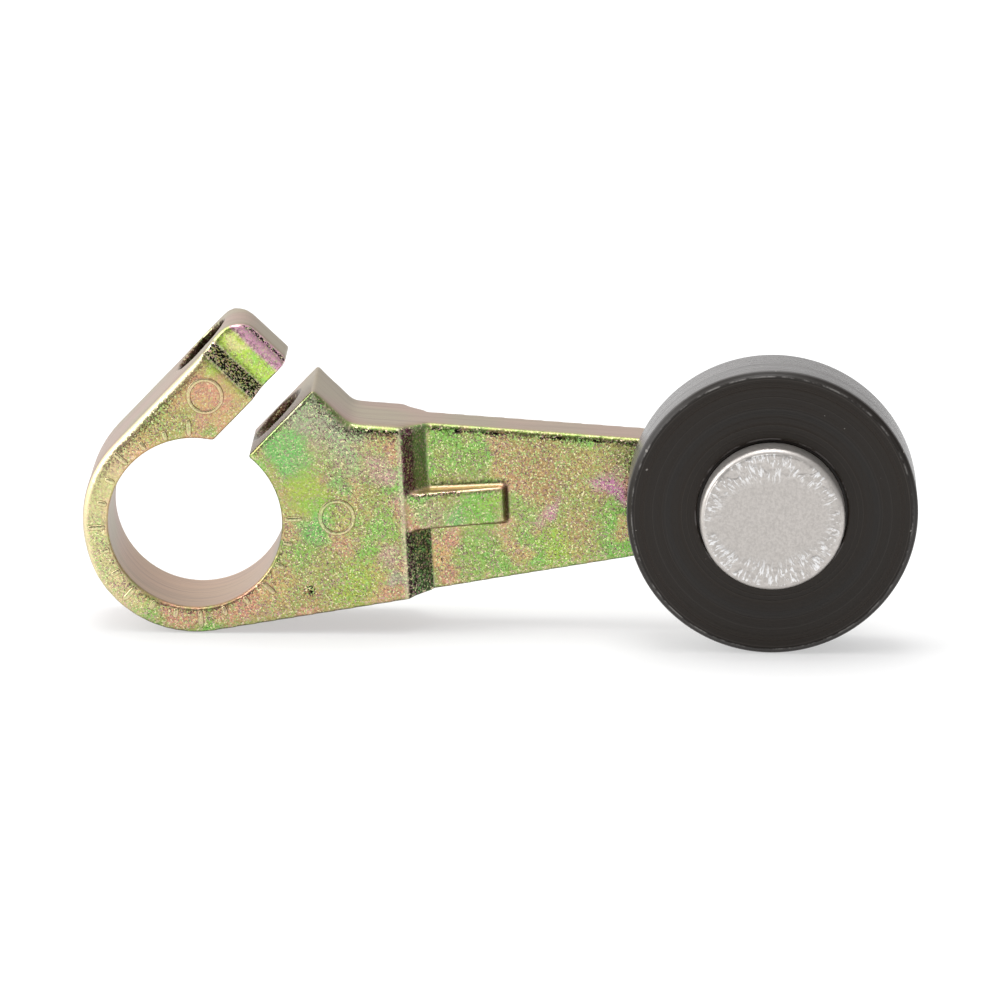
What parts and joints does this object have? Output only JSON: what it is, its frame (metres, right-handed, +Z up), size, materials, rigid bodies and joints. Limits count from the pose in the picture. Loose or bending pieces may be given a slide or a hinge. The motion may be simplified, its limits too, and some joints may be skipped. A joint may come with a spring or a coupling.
{
  "type": "limit switch roller lever",
  "caption": "Roller lever actuator for a rotary limit switch: a cast arm with a split clamp hub at one end and a free-turning roller on a rivet pin at the other.",
  "frame": {"origin": "on the axis of the shaft bore, at the middle of the hub's width", "axes": "+X along the arm from the shaft bore to the roller pin, +Y along the shaft bore away from the roller side, +Z up, on the side of the clamp ear"},
  "size_m": [0.0551, 0.0128, 0.0225],
  "materials": {
    "chromated_casting": "rough casting, yellow chromate plating with green and rose iridescence",
    "roller_plastic": "turned black plastic, satin rim",
    "pin_steel": "plain bright steel, scuffed head"
  },
  "bodies": {
    "arm": {"lever": "chromated_casting", "roller_pin": "pin_steel"},
    "roller": {"roller": "roller_plastic"}
  },
  "joints": [
    {"name": "roller_spin", "type": "hinge", "parent": "arm", "child": "roller", "pos_m": [0.0381, -0.00485, 0], "axis": [0, 1, 0], "continuous": true}
  ]
}
